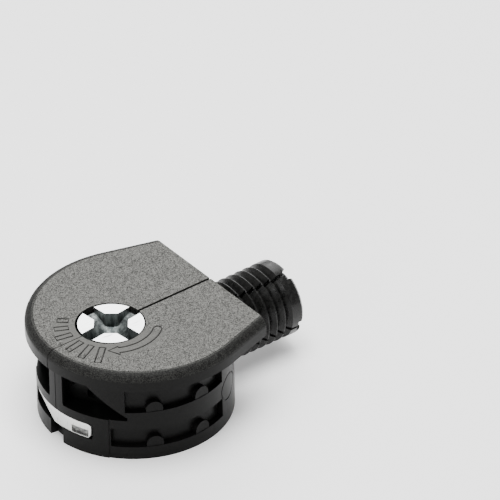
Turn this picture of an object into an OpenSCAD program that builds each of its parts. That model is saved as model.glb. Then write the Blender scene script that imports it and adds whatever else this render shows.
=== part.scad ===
// Cam panel connector: two half shells, a clip, a cam, a draw bolt and an expansion plug.
// X = 0 is the joint plane, +X runs out along the plug, Z = 0 is the plug axis, -Y is the front.

/* [Housing] */
// Diameter of the round body, which fills its pocket in the panel
body_d = 25; // [20:0.5:35]
// Distance from the joint plane back to the body axis
body_back = 12; // [9:0.5:16]
// Height of the flange top above the plug axis
flange_top = 7.5; // [6:0.25:10]
// Thickness of the flange
flange_t = 2.4; // [1.5:0.1:4]
// Radius of the flange around its arc
flange_r = 14.4; // [13:0.1:18]
// Distance from the joint plane back to the centre of the flange arc
flange_back = 11.2; // [8:0.1:16]
// Half width of the flange at the joint plane
nose_half = 11.6; // [9:0.1:14]
// Radius of the rounded upper edge of the flange
lip_r = 1.15; // [0.3:0.05:2]
// Depth of the body's bottom face below the plug axis
bottom = 6.2; // [5:0.1:10]
// Gap between the two half shells
slit = 0.34; // [0.1:0.02:0.6]
// Gap between the half shells along the rear post
rear_slit = 0.12; // [0.06:0.02:0.6]
// How far the rear sector stands proud of the side walls
rear_proud = 0.12; // [0:0.02:0.4]
// Half angle of the rear sector, about the body axis
rear_half = 37.3; // [20:0.1:60]

/* [Side grooves] */
// Depth of the two grooves round each side
groove_depth = 0.8; // [0.3:0.1:1.5]
// Angle from the plug where the grooves end at the front
groove_front = 65.6; // [50:0.5:90]
// Angle from the plug where the upper groove ends at the back
upper_back = 133; // [100:1:150]
// Floor height of the upper groove
upper_floor = 0.85; // [0:0.05:3]
// Lower edge and upper edge of the lower groove
lower_edges = [-4.4, -1.7]; // [-6:0.1:0]
// Angles of the half-round lugs that stand in the grooves
lug_angles = [84.3, 115.6]; // [60:0.5:140]
// Radius of the half-round lugs
lug_r = 1.1; // [0.5:0.1:2]

/* [Rear windows] */
// Bottom edge of the windows
window_floor = -0.4; // [-1:0.05:1]
// Distance from the body axis to the flat back of a window
window_back = 9.3; // [9:0.1:11]

/* [Cam] */
// Distance from the joint plane back to the cam axis
cam_back = 15.6; // [14:0.1:18]
// Radius of the cam head in the flange
head_r = 4.2; // [3:0.1:5]
// Radius of the hole in the flange round the cam head
hole_r = 4.45; // [3.2:0.05:6]
// Radius of the cam drum inside the body
drum_r = 5; // [4:0.1:6]
// Half height of the cam drum
drum_half = 4; // [3:0.1:5]
// Depth of the cam head below the flange top
head_sink = 0.05; // [0:0.05:1]
// Width of the arms of the cross recess
cross_w = 1.9; // [1:0.1:3]
// Depth of the cross recess at its centre
cross_depth = 2.6; // [1.5:0.1:3.5]
// Turn of the cross recess away from the plug axis at rest
cross_turn = 6.7; // [-45:0.5:45]
// Distance that the cam pulls the bolt
stroke = 1.5; // [0.5:0.1:2]

/* [Draw bolt] */
// Radius of the ball at the rear end of the bolt
ball_r = 1.9; // [1.5:0.1:2.2]
// Distance from the cam axis to the ball centre with the cam open
ball_out = 1.9; // [1.5:0.1:2.5]
// Radius of the neck that passes through the cam wall
neck_r = 1.25; // [0.8:0.05:1.6]
// Radius of the shank inside the plug
shank_r = 2.05; // [1.5:0.05:2.5]
// Radius of the threaded end that carries the cone
thread_r = 1.5; // [1:0.05:2]

/* [Expansion plug] */
// Radius of the plug over its ribs
plug_r = 5; // [3:0.1:6]
// Radius of the plug between its ribs
plug_root_r = 4.3; // [2.5:0.1:5.5]
// Distance from one rib to the next
rib_pitch = 1.27; // [0.8:0.01:2.5]
// Number of ribs
rib_count = 7; // [3:1:12]
// Distance from the joint plane to the end of the ribs
ribs_end = 9.2; // [6:0.1:14]
// Length of the plug beyond the joint plane
plug_len = 10.9; // [8:0.1:16]
// Width of the slots that split the plug into petals
petal_slot = 0.45; // [0.2:0.05:1.5]
// Turn of the petal slots about the plug axis, from the top toward the front
petal_turn = 22; // [0:1:90]

/* [Hidden] */
$fn = 96;
flange_under = flange_top - flange_t;
wall_r = body_d / 2 - rear_proud;
cut_r = body_d / 2 + 0.4;
nose_reach = sqrt(pow(flange_back, 2) + pow(nose_half, 2));
tangent_angle = atan2(nose_half, flange_back) + acos(flange_r / nose_reach);
tangent_len = sqrt(pow(nose_reach, 2) - pow(flange_r, 2));
clip_edges = [-3.9, -1.7];
clip_t = 0.5;
clip_half_angle = 26.5;
run_gap = 0.08;
drum_bore_r = drum_r + run_gap;
cam_top = flange_top - head_sink;
ball_x = ball_out - cam_back;
chamber_half = ball_r + 0.2;
chamber_gap = 0.14;
slot_half = neck_r + 0.15;
grip_r = sqrt(pow(ball_r, 2) - pow(slot_half, 2));
plug_bore_r = shank_r + run_gap;
collar_r = 4.2;
collar_x = [-2.85, -1.8];
plug_neck_r = 3;
cone_end = 11.3;
cone_len = 2;
cone_r = 3.4;
mouth_slope = 0.65;
mouth_r = cone_r + (plug_len - (cone_end - stroke)) * mouth_slope + run_gap;
mouth_len = (mouth_r - plug_bore_r) / mouth_slope;

// Everything behind the joint plane, less a hair's room for the plug's shoulder.
module behind_joint() {
    translate([-60.02, -30, -30]) cube([60, 60, 60]);
}

// Half profile of the flange; its upper edge is rounded in short flats.
module flange_profile(inner, outer) {
    edge = [outer - lip_r, flange_top - lip_r];
    polygon(concat(
        [[inner, flange_under], [outer, flange_under]],
        [for (a = [0:15:90]) edge + lip_r * [cos(a), sin(a)]],
        [[inner, flange_top]]));
}

// One straight side of the flange, tangent to its arc and running out past the joint plane.
module flange_side() {
    rotate([0, 0, tangent_angle])
        rotate([90, 0, 0])
            linear_extrude(height = tangent_len + 6) flange_profile(0, flange_r);
}

// The arc of the flange, with its two straight sides meeting it on radial planes.
module flange() {
    translate([-flange_back, 0, 0]) {
        rotate([0, 0, tangent_angle])
            rotate_extrude(angle = 360 - 2 * tangent_angle) flange_profile(0, flange_r);
        flange_side();
        mirror([0, 1, 0]) flange_side();
    }
}

// A sector of a ring about the body axis, from one angle to another.
module ring_sector(r0, r1, z0, z1, a0, a1) {
    translate([-body_back, 0, 0])
        rotate([0, 0, a0])
            rotate_extrude(angle = a1 - a0)
                translate([r0, z0]) square([r1 - r0, z1 - z0]);
}

// Round body: full size round the rear sector and the post, thinner elsewhere.
module body() {
    difference() {
        translate([-body_back, 0, -bottom])
            cylinder(r = body_d / 2, h = bottom + flange_under + 0.5);
        ring_sector(wall_r, cut_r, -bottom - 1, flange_under + 1,
            rear_half - 180, 180 - rear_half);
        for (a = [179 - rear_half, 186])
            ring_sector(wall_r, cut_r, -0.2, flange_under + 1, a, a + rear_half - 5);
    }
}

// The room for the cam: a bore for the drum with the narrower hole for its head above.
module cam_room() {
    translate([-cam_back, 0, -drum_half - 0.1])
        cylinder(r = drum_bore_r, h = 2 * drum_half + 0.2);
    translate([-cam_back - 0.1, 0, 0]) cylinder(r = hole_r, h = flange_top + 1);
}

// The room for the bolt and for the plug's neck and captured collar.
module bolt_room() {
    rotate([0, 90, 0]) {
        translate([0, 0, -cam_back + 1]) cylinder(r = shank_r + 0.5, h = cam_back);
        translate([0, 0, collar_x[1] - 0.1]) cylinder(r = plug_neck_r + 0.1, h = 4);
        translate([0, 0, collar_x[0] - 0.05])
            cylinder(r = collar_r + 0.1, h = collar_x[1] - collar_x[0] + 0.1);
    }
}

// Side grooves with their lugs, on the positive Y side.
module side_grooves() {
    difference() {
        union() {
            ring_sector(wall_r - groove_depth, cut_r, upper_floor, flange_under,
                groove_front, upper_back);
            ring_sector(wall_r - groove_depth, cut_r, lower_edges[0], lower_edges[1],
                groove_front, 179 - rear_half);
        }
        for (a = lug_angles)
            for (z = [upper_floor, lower_edges[0]])
                translate([-body_back, 0, z + 0.35])
                    rotate([0, 90, a]) cylinder(r = lug_r, h = wall_r - 0.08);
    }
}

// Window beside the rear post, on the positive Y side, with a narrow view of the cam drum.
module rear_window() {
    translate([-body_back, 0, 0])
        rotate([0, 0, 150])
            translate([window_back, 0, 0]) {
                rotate([90, 0, 90])
                    linear_extrude(height = 3.3)
                        polygon([[5, flange_under], [1.24, flange_under], [1.24, 3.9],
                            [-3.9, 0], [-3.9, window_floor], [5, window_floor]]);
                translate([-3, 1.1, 0.2]) cube([4, 1.4, 3.4]);
            }
}

// Shallow ring left by the mould's ejector, on the positive Y side.
module ejector_ring() {
    difference() {
        translate([-5.3, 0, -1])
            rotate([-90, 0, 0])
                difference() {
                    cylinder(r = 1.8, h = 20);
                    translate([0, 0, -1]) cylinder(r = 1.62, h = 22);
                }
        translate([-body_back, 0, -20]) cylinder(r = wall_r - 0.1, h = 40);
    }
}

// Cuts that both sides share as mirror images.
module side_cuts() {
    side_grooves();
    rear_window();
    ejector_ring();
    ring_sector(body_d / 2 - 0.6, cut_r, flange_under - 0.7, flange_under, 143, 147);
}

// Whole housing before it is split.
module housing() {
    difference() {
        intersection() {
            union() {
                flange();
                body();
            }
            behind_joint();
        }
        cam_room();
        bolt_room();
        side_cuts();
        mirror([0, 1, 0]) side_cuts();
        // bed of the clip and the pockets for its hooked ends
        ring_sector(body_d / 2 - clip_t - 0.05, cut_r, clip_edges[0], clip_edges[1],
            180 - clip_half_angle - 0.4, 180 + clip_half_angle + 0.4);
        for (s = [-1, 1])
            ring_sector(body_d / 2 - 2.05, cut_r, clip_edges[0] + 0.3, clip_edges[1] - 0.3,
                180 + s * (clip_half_angle - 1) - 2, 180 + s * (clip_half_angle - 1) + 2);
        // notch under the clip at the foot of the rear post
        ring_sector(body_d / 2 - 1, cut_r, -bottom - 1, clip_edges[0] + 0.05, 174.2, 185.8);
    }
}

// Keeps the front half: the plain slit ahead of the cam, the finer one along the rear post.
module front_room() {
    translate([-cam_back, -30, -30]) cube([60, 30 - slit / 2, 60]);
    translate([-60, -30, -30]) cube([60 - cam_back, 30 - rear_slit / 2, 60]);
}

// Places of the two locating pegs on the parting plane.
module at_pegs() {
    translate([-22.4, 0, 2.4]) rotate([90, 0, 0]) children();
    translate([-6, 0, -4.5]) rotate([90, 0, 0]) children();
}

// One half shell, on the negative Y side.
module half_shell() {
    intersection() {
        housing();
        front_room();
    }
}

// Front half shell, with the two locating pegs.
module housing_front() {
    color([0.10, 0.10, 0.11]) {
        half_shell();
        at_pegs() translate([0, 0, -1.4]) cylinder(r = 0.7, h = 2.4);
    }
}

// Rear half shell, the front one's mirror image with two peg holes.
module housing_rear() {
    color([0.10, 0.10, 0.11])
        difference() {
            mirror([0, 1, 0]) half_shell();
            at_pegs() translate([0, 0, -1.6]) cylinder(r = 0.78, h = 3);
        }
}

// Spring steel clip bent round the back of both halves, with hooked ends.
module retaining_clip() {
    r = body_d / 2;
    color([0.75, 0.76, 0.78]) {
        ring_sector(r - clip_t, r, clip_edges[0] + 0.05, clip_edges[1] - 0.05,
            180 - clip_half_angle, 180 + clip_half_angle);
        for (s = [-1, 1])
            ring_sector(r - 2, r, clip_edges[0] + 0.35, clip_edges[1] - 0.35,
                180 + s * (clip_half_angle - 1) - 1, 180 + s * (clip_half_angle - 1) + 1);
    }
}

// Outline of the scroll for a ball section of radius r: its outer wall closes in over half a turn.
function scroll_point(r, a) =
    (ball_out - stroke * a / 180 + r + chamber_gap) * [cos(a), sin(a)];
function end_point(r, x, a) = [x, 0] + (r + chamber_gap) * [cos(a), sin(a)];
function scroll_outline(r) = concat(
    [for (a = [0:10:180]) scroll_point(r, a)],
    [for (a = [200:20:260]) end_point(r, stroke - ball_out, a)],
    [for (a = [280:20:340]) end_point(r, ball_out, a)]);

// Chamber for the ball and the slot that lets the neck through over half a turn. Above and
// below the slot the walls close in to the ball's smaller section there, and pull on it.
module cam_chamber() {
    translate([0, 0, -chamber_half])
        linear_extrude(height = 2 * chamber_half) polygon(scroll_outline(grip_r));
    translate([0, 0, -slot_half])
        linear_extrude(height = 2 * slot_half) polygon(scroll_outline(ball_r));
    rotate_extrude(angle = 180)
        translate([1, -slot_half]) square([drum_r, 2 * slot_half]);
    translate([-8, -slot_half, -slot_half]) cube([16, 2 * slot_half, 2 * slot_half]);
}

// Cross recess: two crossed arms that run to the rim and deepen toward the centre.
module cross_recess() {
    intersection() {
        union() {
            for (a = [0, 90])
                rotate([0, 0, cross_turn + a])
                    translate([-8, -cross_w / 2, cam_top - 4]) cube([16, cross_w, 6]);
            rotate([0, 0, cross_turn + 45])
                translate([-2.15, -2.15, cam_top - 4]) cube([4.3, 4.3, 6]);
        }
        union() {
            translate([0, 0, cam_top - cross_depth])
                cylinder(r1 = 1.5, r2 = 3.1, h = cross_depth - 1.3);
            translate([0, 0, cam_top - 1.3]) cylinder(r1 = 3.1, r2 = 8, h = 2);
        }
    }
}

// Zinc cam: a drum with the scroll inside and the head with its cross recess.
module tightening_cam() {
    color([0.80, 0.81, 0.83])
        translate([-cam_back, 0, 0])
            difference() {
                union() {
                    translate([0, 0, -drum_half]) cylinder(r = drum_r, h = 2 * drum_half);
                    cylinder(r = head_r, h = cam_top);
                }
                cam_chamber();
                cross_recess();
            }
}

// Steel draw bolt: ball, neck, shank and the thinner threaded end.
module draw_bolt() {
    color([0.70, 0.71, 0.73]) {
        translate([ball_x, 0, 0]) sphere(r = ball_r);
        rotate([0, 90, 0]) {
            translate([0, 0, ball_x]) cylinder(r = neck_r, h = -8.4 - ball_x);
            translate([0, 0, -8.5]) cylinder(r = shank_r, h = cone_end - cone_len + 8.4);
            cylinder(r = thread_r, h = cone_end - 0.1);
        }
    }
}

// Cone nut on the threaded end, which spreads the petals when the bolt is pulled in.
module expander_cone() {
    r1 = cone_r - cone_len * mouth_slope;
    color([0.80, 0.81, 0.83])
        rotate([0, 90, 0])
            difference() {
                translate([0, 0, cone_end - cone_len])
                    cylinder(r1 = r1, r2 = cone_r, h = cone_len);
                translate([0, 0, cone_end - cone_len - 1])
                    cylinder(r = thread_r + 0.03, h = cone_len + 2);
            }
}

// Profile of one rib: a sloping front, a narrow crest and a steeper back.
module rib(x) {
    translate([0, 0, x]) {
        cylinder(r1 = plug_root_r, r2 = plug_r, h = 0.62);
        translate([0, 0, 0.62]) cylinder(r = plug_r, h = 0.1);
        translate([0, 0, 0.72]) cylinder(r1 = plug_r, r2 = plug_root_r, h = 0.26);
    }
}

// Expansion plug: captured collar, ribbed sleeve and castellated end, split into petals.
module expansion_plug() {
    color([0.09, 0.09, 0.10])
        difference() {
            rotate([0, 90, 0])
                difference() {
                    union() {
                        translate([0, 0, collar_x[0]])
                            cylinder(r = collar_r, h = collar_x[1] - collar_x[0]);
                        translate([0, 0, collar_x[0]]) cylinder(r = plug_neck_r, h = 4);
                        cylinder(r = plug_root_r, h = ribs_end + 0.1);
                        cylinder(r = plug_r, h = 0.28);
                        translate([0, 0, 0.28])
                            cylinder(r1 = plug_r, r2 = plug_root_r, h = 0.3);
                        for (i = [1:rib_count]) rib(i * rib_pitch - 0.4);
                        translate([0, 0, ribs_end]) cylinder(r = plug_r, h = 1.35);
                        translate([0, 0, ribs_end + 1.35])
                            cylinder(r1 = plug_r, r2 = plug_r - 0.3,
                                h = plug_len - ribs_end - 1.35);
                    }
                    translate([0, 0, -5]) cylinder(r = plug_bore_r, h = 20);
                    translate([0, 0, plug_len - mouth_len])
                        cylinder(r1 = plug_bore_r, r2 = mouth_r + mouth_slope,
                            h = mouth_len + 1);
                }
            // petal slots, each with a wider notch in the end collar
            for (a = [0:90:270])
                rotate([a + petal_turn, 0, 0]) {
                    translate([2.2, -petal_slot / 2, 0]) cube([20, petal_slot, 10]);
                    translate([plug_len - 0.8, -0.85, 0]) cube([10, 1.7, 10]);
                }
        }
}

housing_front();
housing_rear();
retaining_clip();
tightening_cam();
draw_bolt();
expander_cone();
expansion_plug();
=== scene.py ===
"""Cam panel connector: two black half shells held by a steel clip, with a zinc cam that
draws a steel bolt back and spreads the ribbed plug at its end."""
import math

import bmesh
import bpy
import numpy as np
from mathutils import Matrix, Vector


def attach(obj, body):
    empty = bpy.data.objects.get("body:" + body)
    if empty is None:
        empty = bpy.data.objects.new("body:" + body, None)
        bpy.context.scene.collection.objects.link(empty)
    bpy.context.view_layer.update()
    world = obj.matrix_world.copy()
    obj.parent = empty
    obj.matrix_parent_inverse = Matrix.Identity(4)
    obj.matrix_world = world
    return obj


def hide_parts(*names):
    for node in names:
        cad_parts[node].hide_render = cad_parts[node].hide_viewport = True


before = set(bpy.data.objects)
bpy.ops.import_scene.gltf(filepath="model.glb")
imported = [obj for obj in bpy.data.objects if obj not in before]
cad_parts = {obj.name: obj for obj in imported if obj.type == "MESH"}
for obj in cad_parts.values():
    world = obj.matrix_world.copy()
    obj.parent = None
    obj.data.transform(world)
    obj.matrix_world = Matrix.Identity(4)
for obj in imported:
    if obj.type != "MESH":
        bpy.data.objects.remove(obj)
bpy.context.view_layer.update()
mm = 0.001

# ---------------------------------------------------------------- half shells
# Two mirrored shells of black glass-filled nylon, moulded with a spark-eroded grain on the
# flange and smooth sides. They meet on the plane through the bolt and trap the cam and plug.
body_axis = -12.0 * mm
cam_axis = -15.6 * mm
flange_top = 7.5 * mm


def dress(piece, material, body):
    """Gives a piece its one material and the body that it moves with."""
    piece.data.materials.clear()
    piece.data.materials.append(material)
    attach(piece, body)


def finish_solid(node, material):
    """Gives a solid, whose shape is already right, its finish."""
    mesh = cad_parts[node].data
    mesh.materials.clear()
    mesh.materials.append(material)


def new_material(name):
    """An empty node material with its shader, and a function that adds and links nodes."""
    material = bpy.data.materials.new(name)
    material.use_nodes = True
    tree = material.node_tree
    shader = tree.nodes["Principled BSDF"]
    return material, tree, shader


def add_node(tree, kind, settings=(), inputs=()):
    """One node with its settings, and its inputs set to a value or linked from a socket."""
    node = tree.nodes.new(kind)
    for name, value in dict(settings).items():
        setattr(node, name, value)
    for name, value in dict(inputs).items():
        if isinstance(value, bpy.types.NodeSocket):
            tree.links.new(value, node.inputs[name])
        else:
            node.inputs[name].default_value = value
    return node


def mould_grain_group():
    """Spark-eroded grain: a fine and a coarser noise summed into a height and a speckle."""
    group = bpy.data.node_groups.new("mould grain", "ShaderNodeTree")
    face = group.interface
    face.new_socket("Vector", in_out="INPUT", socket_type="NodeSocketVector")
    face.new_socket("Grain Size", in_out="INPUT", socket_type="NodeSocketFloat")
    face.new_socket("Amount", in_out="INPUT", socket_type="NodeSocketFloat")
    face.new_socket("Height", in_out="OUTPUT", socket_type="NodeSocketFloat")
    face.new_socket("Speckle", in_out="OUTPUT", socket_type="NodeSocketFloat")
    given = group.nodes.new("NodeGroupInput")
    out = group.nodes.new("NodeGroupOutput")
    rate = add_node(group, "ShaderNodeMath", {"operation": "DIVIDE"}, {0: 1.0, 1: given.outputs[1]})
    fine = add_node(
        group,
        "ShaderNodeTexNoise",
        {},
        {"Vector": given.outputs[0], "Scale": rate.outputs[0], "Detail": 3.0, "Roughness": 0.65},
    )
    slow = add_node(
        group, "ShaderNodeMath", {"operation": "MULTIPLY"}, {0: rate.outputs[0], 1: 0.22}
    )
    coarse = add_node(
        group,
        "ShaderNodeTexNoise",
        {},
        {"Vector": given.outputs[0], "Scale": slow.outputs[0], "Detail": 2.0},
    )
    both = add_node(
        group,
        "ShaderNodeMath",
        {"operation": "MULTIPLY_ADD"},
        {0: coarse.outputs["Fac"], 1: 0.12, 2: fine.outputs["Fac"]},
    )
    height = add_node(
        group, "ShaderNodeMath", {"operation": "MULTIPLY"}, {0: both.outputs[0], 1: given.outputs[2]}
    )
    spread = add_node(
        group,
        "ShaderNodeMapRange",
        {},
        {"Value": both.outputs[0], "From Min": 0.48, "From Max": 0.64},
    )
    group.links.new(height.outputs[0], out.inputs[0])
    group.links.new(spread.outputs[0], out.inputs[1])
    return group


def between(tree, value, low, high, start=0.0, end=1.0):
    """A smooth step of value from low to high, giving start to end."""
    step = add_node(
        tree,
        "ShaderNodeMapRange",
        {"interpolation_type": "SMOOTHSTEP"},
        {"Value": value, "From Min": low, "From Max": high, "To Min": start, "To Max": end},
    )
    return step.outputs[0]


def mix_colour(tree, factor, first, second):
    """Two colours mixed by a factor."""
    mix = tree.nodes.new("ShaderNodeMix")
    mix.data_type = "RGBA"
    for socket, value in ((mix.inputs[0], factor), (mix.inputs[6], first), (mix.inputs[7], second)):
        if isinstance(value, bpy.types.NodeSocket):
            tree.links.new(value, socket)
        else:
            socket.default_value = value
    return mix.outputs[2]


grain_group = mould_grain_group()


def mark_land(tree, place):
    """A mask that is 1 on the smoother half ring of the flange that carries the raised marks."""
    facing = math.radians(-138)
    from_cam = add_node(
        tree, "ShaderNodeVectorMath", {"operation": "SUBTRACT"}, {0: place, 1: (cam_axis, 0, 0)}
    )
    flat = add_node(
        tree,
        "ShaderNodeVectorMath",
        {"operation": "MULTIPLY"},
        {0: from_cam.outputs[0], 1: (1, 1, 0)},
    )
    radius = add_node(tree, "ShaderNodeVectorMath", {"operation": "LENGTH"}, {0: flat.outputs[0]})
    toward = add_node(
        tree,
        "ShaderNodeVectorMath",
        {"operation": "DOT_PRODUCT"},
        {0: flat.outputs[0], 1: (math.cos(facing), math.sin(facing), 0)},
    )
    inside = between(tree, radius.outputs["Value"], 7.1 * mm, 7.4 * mm, 1.0, 0.0)
    this_half = between(tree, toward.outputs["Value"], 0.0, 1.4 * mm)
    both = add_node(tree, "ShaderNodeMath", {"operation": "MULTIPLY"}, {0: inside, 1: this_half})
    return both.outputs[0]


def shell_plastic():
    """Black nylon, grainy on the flange and glossier on the sides. Where the flange points straight
    up it takes a lighter grey as a painted sheen, and on the tilted lip a darker speckled grey as
    painted shade.
    """
    material, tree, shader = new_material("housing nylon")
    place = add_node(tree, "ShaderNodeTexCoord").outputs["Object"]
    height = add_node(tree, "ShaderNodeSeparateXYZ", {}, {0: place}).outputs[2]
    up = add_node(tree, "ShaderNodeNewGeometry").outputs["Normal"]
    up = add_node(tree, "ShaderNodeSeparateXYZ", {}, {0: up}).outputs[2]
    on_lip = between(tree, height, 6.3 * mm, 6.7 * mm)
    # Painted light: flange faces that point straight up get the light grey top colour as a painted
    # sheen, and the rounded lip that tilts away gets the dark lip colour as painted shade.
    painted_sheen_facing_up = between(tree, up, 0.988, 0.9995)
    painted_sheen_on_top = add_node(tree, "ShaderNodeMath", {"operation": "MULTIPLY"}, {0: on_lip, 1: painted_sheen_facing_up})
    painted_sheen_on_top = painted_sheen_on_top.outputs[0]
    grain = add_node(
        tree,
        "ShaderNodeGroup",
        {"node_tree": grain_group},
        {"Vector": place, "Grain Size": 0.00012, "Amount": 1.0},
    )
    polished = mark_land(tree, place)
    speckle = between(tree, polished, 0.0, 1.0, 1.0, 0.25)
    speckle = add_node(
        tree, "ShaderNodeMath", {"operation": "MULTIPLY"}, {0: speckle, 1: grain.outputs["Speckle"]}
    )
    speckle = add_node(
        tree,
        "ShaderNodeMath",
        {"operation": "MULTIPLY_ADD"},
        {0: polished, 1: 0.42, 2: speckle.outputs[0]},
    ).outputs[0]
    side = mix_colour(tree, speckle, (0.0025, 0.0025, 0.0024, 1), (0.005, 0.005, 0.0047, 1))
    # The lip and top colours are shaded and lit copies of one grained nylon: the dark lip grey is
    # painted shade, the top grey a painted sheen.
    lip = mix_colour(tree, speckle, (0.0012, 0.0012, 0.0011, 1), (0.024, 0.024, 0.0226, 1))
    top = mix_colour(tree, speckle, (0.024, 0.024, 0.0222, 1), (0.146, 0.145, 0.136, 1))
    lip_or_side = mix_colour(tree, on_lip, side, lip)
    tree.links.new(mix_colour(tree, painted_sheen_on_top, lip_or_side, top), shader.inputs["Base Color"])
    tree.links.new(between(tree, on_lip, 0.0, 1.0, 0.34, 0.58), shader.inputs["Roughness"])
    strength = add_node(
        tree, "ShaderNodeMath", {"operation": "MULTIPLY"}, {0: grain.outputs["Height"], 1: on_lip}
    )
    flow = add_node(
        tree, "ShaderNodeTexNoise", {}, {"Vector": place, "Scale": 900.0, "Detail": 2.0}
    )
    relief = add_node(
        tree,
        "ShaderNodeMath",
        {"operation": "MULTIPLY_ADD"},
        {0: flow.outputs["Fac"], 1: 0.12, 2: strength.outputs[0]},
    )
    bump = add_node(
        tree,
        "ShaderNodeBump",
        {},
        {"Height": relief.outputs[0], "Distance": 0.00004, "Strength": 0.55},
    )
    tree.links.new(bump.outputs[0], shader.inputs["Normal"])
    shader.inputs["Specular IOR Level"].default_value = 0.075
    return material


housing_nylon = shell_plastic()
for node in ("housing_front", "housing_rear"):
    finish_solid(node, housing_nylon)

# ---------------------------------------------------------------- arrow and scale
# Raised marks moulded into the flange round the cam: an arrow for the tightening direction,
# and a row of growing bars that shows how the pull builds up.
mark_height = 0.07 * mm
ridge_w = 0.21 * mm


def ridge_along(points, width, height, closed=True):
    """A low rounded ridge carried along a flat path: each cross-section is a half ellipse of
    the given width and height standing on the flange, square to the path's direction."""
    points = np.asarray(points, float)
    ahead = np.roll(points, -1, axis=0) - np.roll(points, 1, axis=0)
    if not closed:
        ahead[0] = points[1] - points[0]
        ahead[-1] = points[-1] - points[-2]
    ahead /= np.linalg.norm(ahead, axis=1)[:, None]
    side = np.stack([-ahead[:, 1], ahead[:, 0]], axis=1)
    turn = np.linspace(0, 2 * math.pi, 8, endpoint=False)
    across = np.cos(turn) * width / 2
    rise = np.where(np.sin(turn) > 0, np.sin(turn), 0.5 * np.sin(turn)) * height
    n, m = len(points), len(turn)
    verts = np.empty((n, m, 3))
    verts[:, :, :2] = points[:, None, :] + side[:, None, :] * across[None, :, None]
    verts[:, :, 2] = flange_top + rise[None, :]
    row, col = np.meshgrid(np.arange(n if closed else n - 1), np.arange(m), indexing="ij")
    after, beside = (row + 1) % n, (col + 1) % m
    quads = np.stack(
        [row * m + col, after * m + col, after * m + beside, row * m + beside], axis=-1
    )
    return verts.reshape(-1, 3), quads.reshape(-1, 4)


def mesh_piece(name, verts, faces):
    """A mesh object from whole arrays, with its normals turned outwards."""
    mesh = bpy.data.meshes.new(name)
    mesh.from_pydata(verts.tolist(), [], faces.tolist())
    work = bmesh.new()
    work.from_mesh(mesh)
    bmesh.ops.remove_doubles(work, verts=work.verts, dist=1e-7)
    bmesh.ops.recalc_face_normals(work, faces=work.faces)
    work.to_mesh(mesh)
    work.free()
    piece = bpy.data.objects.new(name, mesh)
    bpy.context.collection.objects.link(piece)
    mesh.shade_smooth()
    return piece


def on_ring(radius, degrees):
    """Points at a radius and angles about the cam axis."""
    angle = np.radians(degrees)
    return np.stack([cam_axis + radius * np.cos(angle), radius * np.sin(angle)], axis=1)


def arrow_outline():
    """Outline of a curved arrow: two arcs, a rounded tail and a pointed head with barbs."""
    middle, half = 6.0 * mm, 0.55 * mm
    tail_at, neck_at, tip_at = -52.0, -117.0, -130.0
    barb_outwards, barb_inwards, tail_round = 0.45 * mm, 0.3 * mm, 7.0
    steps = 24
    outer = on_ring(np.full(steps, middle + half), np.linspace(tail_at, neck_at, steps))
    barb_out = on_ring(np.array([middle + half + barb_outwards]), np.array([neck_at]))
    tip = on_ring(np.array([middle]), np.array([tip_at]))
    barb_in = on_ring(np.array([middle - half - barb_inwards]), np.array([neck_at]))
    inner = on_ring(np.full(steps, middle - half), np.linspace(neck_at, tail_at, steps))
    bend = np.radians(np.linspace(180, 0, 9)[1:-1])
    tail = on_ring(middle + half * np.cos(bend), tail_at + tail_round * np.sin(bend))
    return np.concatenate([outer, barb_out, tip, barb_in, inner, tail])


arrow = mesh_piece("tighten_arrow", *ridge_along(arrow_outline(), ridge_w, mark_height))
dress(arrow, housing_nylon, "housing")


def growing_bars(degrees, first, last):
    """One closed ridge outline for each bar, all lying along radii and growing in length."""
    verts, faces, start = [], [], 0
    near, half = 5.4 * mm, 4.2
    for share, angle in zip(np.linspace(0, 1, len(degrees)), degrees):
        far = near + first + (last - first) * share
        corners = on_ring(
            np.array([near, far, far, near]),
            angle + half * np.array([-1, -near / far, near / far, 1]),
        )
        v, f = ridge_along(corners, ridge_w, mark_height)
        verts.append(v)
        faces.append(f + start)
        start += len(v)
    return np.concatenate(verts), np.concatenate(faces)


bar_rows = {
    "scale_bars_rear": (np.array([136.0, 152.0, 168.0]), 1.4 * mm, 2.2 * mm),
    "scale_bars_front": (np.array([190.0, 206.0, 222.0]), 2.5 * mm, 3.3 * mm),
}
for name, row in bar_rows.items():
    bars = mesh_piece(name, *growing_bars(*row))
    dress(bars, housing_nylon, "housing")

# ---------------------------------------------------------------- retaining clip
# A strip of bright spring steel, bent round the back of both shells in its own bed. Its ends
# hook inwards and stop the shells from parting. The rear half narrows to a tongue.
clip_r = 12.26 * mm
clip_t = 0.46 * mm
clip_low, clip_high = -3.83 * mm, -1.77 * mm
clip_span = math.radians(23.9)


def clip_path():
    """Centre line and outward normals of the strip, seen from above: an arc about the body axis,
    then a quarter turn inwards and a short straight hook. A heading is summed along the
    steps, and the points are the running sum of the steps taken along that heading."""
    bend_r, bend, hook = 0.35 * mm, math.radians(88), 0.88 * mm
    counts = (60, 6, 4)
    steps = np.repeat(np.array([clip_r * clip_span, bend_r * bend, hook]) / counts, counts)
    turns = np.repeat(np.array([clip_span, bend, 0]) / counts, counts)
    heading = np.concatenate([[0], np.cumsum(turns)])
    middle = (heading[1:] + heading[:-1]) / 2
    ahead = np.stack([np.sin(middle), -np.cos(middle)], axis=1) * steps[:, None]
    points = np.concatenate([[[0, 0]], np.cumsum(ahead, axis=0)]) + [-clip_r, 0]
    normals = -np.stack([np.cos(heading), np.sin(heading)], axis=1)
    flip = np.array([1, -1])
    points = np.concatenate([(points * flip)[:0:-1], points])
    normals = np.concatenate([(normals * flip)[:0:-1], normals])
    return points + [body_axis, 0], normals, np.concatenate([-heading[:0:-1], heading])


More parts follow.
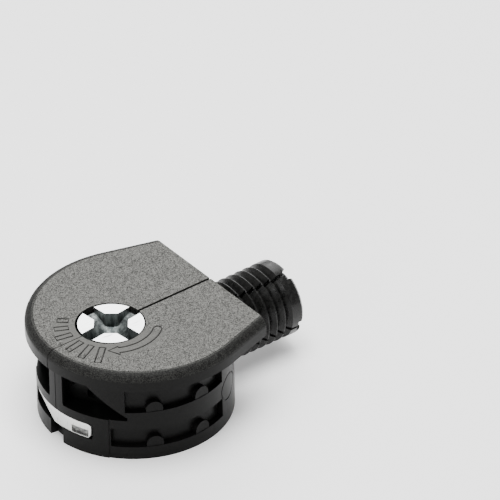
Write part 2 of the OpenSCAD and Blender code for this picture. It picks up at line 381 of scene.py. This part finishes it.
def clip_strip():
    """An outer and an inner face on one grid, along the path and up the strip, closed round the
    rim. Toward the front end a shallow panel is pressed in, deepest along its foot. Past the
    middle the lower edge rises, so the other half is a tapering tongue low in its slot."""
    points, normals, heading = clip_path()
    degrees = np.degrees(heading)
    up = np.array([0, 0.03, 0.06, 0.09, 0.3, 0.45, 0.56, 0.6, 0.7, 0.8, 0.9, 1.0])
    rise = 1 - (1 - np.clip((-degrees - 2.0) / 17.0, 0, 1)) ** 1.5
    low = clip_low + (clip_high - clip_low) * 0.86 * rise
    hook = np.clip((np.abs(degrees) - 30) / 40, 0, 1) * 0.3 * mm
    low, high = low + hook * (degrees > 0), clip_high - hook
    along = np.clip((degrees - 12.7) / 0.4, 0, 1) * np.clip((28.0 - degrees) / 3.0, 0, 1)
    across = np.clip((up - 0.06) / 0.03, 0, 1) * np.clip((0.6 - up) / 0.04, 0, 1)
    pressed = along[:, None] * (across * (0.33 - 0.26 * up))[None, :] * mm
    sunk = (rise * 0.03 * mm)[:, None]
    crown = (0.05 * mm * (2 * up - 1) ** 4)[None, :]
    n, m = len(points), len(up)
    offsets = (clip_t / 2 - pressed - sunk - crown, np.full((n, m), -clip_t / 2))
    verts = np.empty((2, n, m, 3))
    for face, offset in enumerate(offsets):
        verts[face, :, :, :2] = points[:, None, :] + normals[:, None, :] * offset[:, :, None]
        verts[face, :, :, 2] = low[:, None] + (high - low)[:, None] * up[None, :]
    index = np.arange(2 * n * m).reshape(2, n, m)
    rim = np.concatenate(
        [index[:, :, 0], index[:, -1, 1:], index[:, ::-1, -1][:, 1:], index[:, 0, ::-1][:, 1:]],
        axis=1,
    )
    sheets = [
        np.stack([g[:-1, :-1], g[1:, :-1], g[1:, 1:], g[:-1, 1:]], axis=-1).reshape(-1, 4)
        for g in index
    ]
    edge = np.stack([rim[0, :-1], rim[0, 1:], rim[1, 1:], rim[1, :-1]], axis=-1)
    return verts.reshape(-1, 3), np.concatenate(sheets + [edge])


def plating_group():
    """Handling marks on plated metal: fine stretched scratches and a slow cloudiness."""
    group = bpy.data.node_groups.new("plating marks", "ShaderNodeTree")
    face = group.interface
    face.new_socket("Vector", in_out="INPUT", socket_type="NodeSocketVector")
    face.new_socket("Scale", in_out="INPUT", socket_type="NodeSocketFloat")
    face.new_socket("Scratch", in_out="OUTPUT", socket_type="NodeSocketFloat")
    face.new_socket("Cloud", in_out="OUTPUT", socket_type="NodeSocketFloat")
    given = group.nodes.new("NodeGroupInput")
    out = group.nodes.new("NodeGroupOutput")
    stretched = add_node(
        group,
        "ShaderNodeMapping",
        {},
        {"Vector": given.outputs[0], "Rotation": (0, 0, 0.5), "Scale": (1.0, 7.0, 1.0)},
    )
    lines = add_node(
        group,
        "ShaderNodeTexNoise",
        {},
        {"Vector": stretched.outputs[0], "Scale": given.outputs[1], "Detail": 4.0},
    )
    cloud = add_node(
        group,
        "ShaderNodeTexNoise",
        {},
        {"Vector": given.outputs[0], "Scale": given.outputs[1], "Detail": 2.0},
    )
    group.links.new(between(group, lines.outputs["Fac"], 0.56, 0.74), out.inputs[0])
    group.links.new(cloud.outputs["Fac"], out.inputs[1])
    return group


plating_marks = plating_group()


def plated_metal(name, bright, dull, smooth, rough, scale):
    """Bright plating whose colour dulls and roughens along its handling marks."""
    material, tree, shader = new_material(name)
    place = add_node(tree, "ShaderNodeTexCoord").outputs["Object"]
    marks = add_node(
        tree, "ShaderNodeGroup", {"node_tree": plating_marks}, {"Vector": place, "Scale": scale}
    )
    colour = mix_colour(tree, marks.outputs["Scratch"], bright, dull)
    tree.links.new(colour, shader.inputs["Base Color"])
    tree.links.new(
        between(tree, marks.outputs["Cloud"], 0.3, 0.7, smooth, rough), shader.inputs["Roughness"]
    )
    bump = add_node(
        tree,
        "ShaderNodeBump",
        {"invert": True},
        {"Height": marks.outputs["Scratch"], "Distance": 0.00001, "Strength": 0.3},
    )
    tree.links.new(bump.outputs[0], shader.inputs["Normal"])
    shader.inputs["Metallic"].default_value = 1.0
    return material, tree, shader, place, colour


clip = mesh_piece("retaining_clip_strip", *clip_strip())
clip.data.set_sharp_from_angle(angle=math.radians(30))


def clip_finish():
    """Bright rolled faces. The pressed panel takes a dark grey as painted shade and darker
    reflection of its sunk face, and the sheared edges take the same grey as their real dull, rough
    finish.
    """
    material, tree, shader, place, colour = plated_metal(
        "clip spring steel", (0.56, 0.56, 0.55, 1), (0.27, 0.27, 0.27, 1), 0.18, 0.34, 900.0
    )
    from_axis = add_node(
        tree, "ShaderNodeVectorMath", {"operation": "SUBTRACT"}, {0: place, 1: (body_axis, 0, 0)}
    )
    flat = add_node(
        tree,
        "ShaderNodeVectorMath",
        {"operation": "MULTIPLY"},
        {0: from_axis.outputs[0], 1: (1, 1, 0)},
    )
    radius = add_node(tree, "ShaderNodeVectorMath", {"operation": "LENGTH"}, {0: flat.outputs[0]})
    outer = clip_r + clip_t / 2
    rolled = between(tree, radius.outputs["Value"], outer - 0.22 * mm, outer - 0.14 * mm)
    cloud = add_node(
        tree, "ShaderNodeTexNoise", {}, {"Vector": place, "Scale": 2600.0, "Detail": 3.0}
    )
    cloud = between(tree, cloud.outputs["Fac"], 0.35, 0.65)
    # Painted shade: on the sunk pressed panel this dark grey stands for the shade and darker
    # reflection of its tilted face; on the sheared edges it is their real dull finish.
    pressed = mix_colour(tree, cloud, (0.10, 0.10, 0.098, 1), (0.24, 0.24, 0.235, 1))
    tree.links.new(mix_colour(tree, rolled, pressed, colour), shader.inputs["Base Color"])
    tree.links.new(between(tree, rolled, 0, 1, 0.55, 0.24), shader.inputs["Roughness"])
    return material


clip_steel = clip_finish()
dress(clip, clip_steel, "housing")
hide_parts("retaining_clip")

# ---------------------------------------------------------------- tightening cam
# Die-cast zinc, barrelled and bright plated. The drum is trapped between the shells, and its
# head shows through the flange with a cross recess for the driver.
land_height = 7.45 * mm


def cam_zinc():
    """Bright lands on top, with dull grey cast walls down in the recess that darken towards its
    bottom as painted shade.
    """
    material, tree, shader, place, colour = plated_metal(
        "cam zinc", (0.86, 0.87, 0.87, 1), (0.42, 0.43, 0.43, 1), 0.10, 0.2, 420.0
    )
    height = add_node(tree, "ShaderNodeSeparateXYZ", {}, {0: place}).outputs[2]
    # Painted shade: the cast walls go darker the deeper they lie in the recess, from the high
    # colours to the low ones.
    shade_with_depth = between(tree, height, land_height - 2.2 * mm, land_height - 0.1 * mm)
    drawn = add_node(tree, "ShaderNodeMapping", {}, {"Vector": place, "Scale": (1.0, 1.0, 0.35)})
    cast = add_node(
        tree,
        "ShaderNodeTexNoise",
        {},
        {"Vector": drawn.outputs[0], "Scale": 1500.0, "Detail": 4.0, "Roughness": 0.6},
    )
    streaks = between(tree, cast.outputs["Fac"], 0.36, 0.66)
    low = mix_colour(tree, streaks, (0.05, 0.058, 0.058, 1), (0.19, 0.21, 0.205, 1))
    high = mix_colour(tree, streaks, (0.13, 0.14, 0.14, 1), (0.34, 0.36, 0.355, 1))
    dull = mix_colour(tree, shade_with_depth, low, high)
    on_land = between(tree, height, land_height - 0.06 * mm, land_height - 0.02 * mm)
    tree.links.new(mix_colour(tree, on_land, dull, colour), shader.inputs["Base Color"])
    tree.links.new(between(tree, on_land, 0, 1, 0.42, 0.12), shader.inputs["Roughness"])
    return material


finish_solid("tightening_cam", cam_zinc())

# ---------------------------------------------------------------- draw bolt and cone
# A turned steel pin with a ball at the cam end. The far end carries a plated cone that the
# plug's petals ride up when the cam pulls the pin in.
bolt_steel = plated_metal(
    "bolt steel", (0.66, 0.67, 0.69, 1), (0.42, 0.42, 0.43, 1), 0.2, 0.34, 1200.0
)[0]
finish_solid("draw_bolt", bolt_steel)
cone_zinc = plated_metal(
    "cone zinc", (0.88, 0.89, 0.90, 1), (0.6, 0.6, 0.6, 1), 0.14, 0.28, 900.0
)[0]
finish_solid("expander_cone", cone_zinc)

# ---------------------------------------------------------------- expansion plug
# A black nylon sleeve with sharp ribs, slit into four petals from its castellated end. Its
# collar is trapped in the shells, so it stays with the housing.


def plug_plastic():
    """Smooth black nylon with a soft gloss and faint flow marks."""
    material, tree, shader = new_material("plug nylon")
    place = add_node(tree, "ShaderNodeTexCoord").outputs["Object"]
    grain = add_node(
        tree,
        "ShaderNodeGroup",
        {"node_tree": grain_group},
        {"Vector": place, "Grain Size": 0.0006, "Amount": 1.0},
    )
    colour = mix_colour(
        tree, grain.outputs["Speckle"], (0.0035, 0.0035, 0.0034, 1), (0.0065, 0.0065, 0.006, 1)
    )
    tree.links.new(colour, shader.inputs["Base Color"])
    tree.links.new(
        between(tree, grain.outputs["Speckle"], 0, 1, 0.26, 0.38), shader.inputs["Roughness"]
    )
    bump = add_node(
        tree,
        "ShaderNodeBump",
        {},
        {"Height": grain.outputs["Height"], "Distance": 0.00003, "Strength": 0.25},
    )
    tree.links.new(bump.outputs[0], shader.inputs["Normal"])
    shader.inputs["Specular IOR Level"].default_value = 0.24
    return material


finish_solid("expansion_plug", plug_plastic())

# ---------------------------------------------------------------- floor, light, camera
# A pale floor under the body's flat base, a large soft light behind and above, a weaker one
# from the left, and a long lens that looks down on the front and the rear post.
floor_level = -6.2 * mm
floor_mesh = bpy.data.meshes.new("floor")
floor_mesh.from_pydata(
    [(-2, -2, floor_level), (2, -2, floor_level), (2, 2, floor_level), (-2, 2, floor_level)],
    [],
    [(0, 1, 2, 3)],
)
floor = bpy.data.objects.new("floor", floor_mesh)
bpy.context.collection.objects.link(floor)
floor_paint, _, floor_shader = new_material("floor paint")
floor_shader.inputs["Base Color"].default_value = (0.94, 0.94, 0.94, 1)
floor_shader.inputs["Emission Color"].default_value = (1, 1, 1, 1)
floor_shader.inputs["Emission Strength"].default_value = 0.26
floor_shader.inputs["Roughness"].default_value = 0.7
floor_mesh.materials.append(floor_paint)


def soft_light(name, place, aim, size, watts):
    """A square soft box at a place, turned to face the aim point."""
    data = bpy.data.lights.new(name, "AREA")
    data.size = size
    data.energy = watts
    lamp = bpy.data.objects.new(name, data)
    lamp.location = place
    lamp.rotation_euler = (Vector(aim) - Vector(place)).to_track_quat("-Z", "Y").to_euler()
    bpy.context.collection.objects.link(lamp)


centre = (-0.012, 0, 0)
soft_light("back box", (0.22, 0.33, 0.29), centre, 0.34, 1.9)
soft_light("left box", (-0.36, -0.10, 0.20), centre, 0.16, 0.6)
soft_light("top box", (-0.02, -0.02, 0.42), centre, 0.26, 3.4)
world = bpy.data.worlds.new("studio")
world.use_nodes = True
world.node_tree.nodes["Background"].inputs[0].default_value = (1, 1, 1, 1)
world.node_tree.nodes["Background"].inputs[1].default_value = 0.55
bpy.context.scene.world = world

azimuth, elevation, roll = (math.radians(a) for a in (-36.53, 34.87, 1.42))
distance, view_w = 2000.0, 62.735
back = Vector(
    (
        math.sin(azimuth) * math.cos(elevation),
        -math.cos(azimuth) * math.cos(elevation),
        math.sin(elevation),
    )
)
level = Vector((math.cos(azimuth), math.sin(azimuth), 0))
lifted = back.cross(level)
right = level * math.cos(roll) - lifted * math.sin(roll)
up = level * math.sin(roll) + lifted * math.cos(roll)
target = Vector((-11.2, 0, 0.5))
offset = right * 13.76 + up * 13.29
lens = bpy.data.cameras.new("long lens")
lens.sensor_width = 36
lens.lens = lens.sensor_width * distance / view_w
lens.clip_start = 0.01
camera = bpy.data.objects.new("camera", lens)
turn = Matrix((right, up, back)).transposed().to_4x4()
camera.matrix_world = Matrix.Translation((target + back * distance + offset) * mm) @ turn
bpy.context.collection.objects.link(camera)
bpy.context.scene.camera = camera
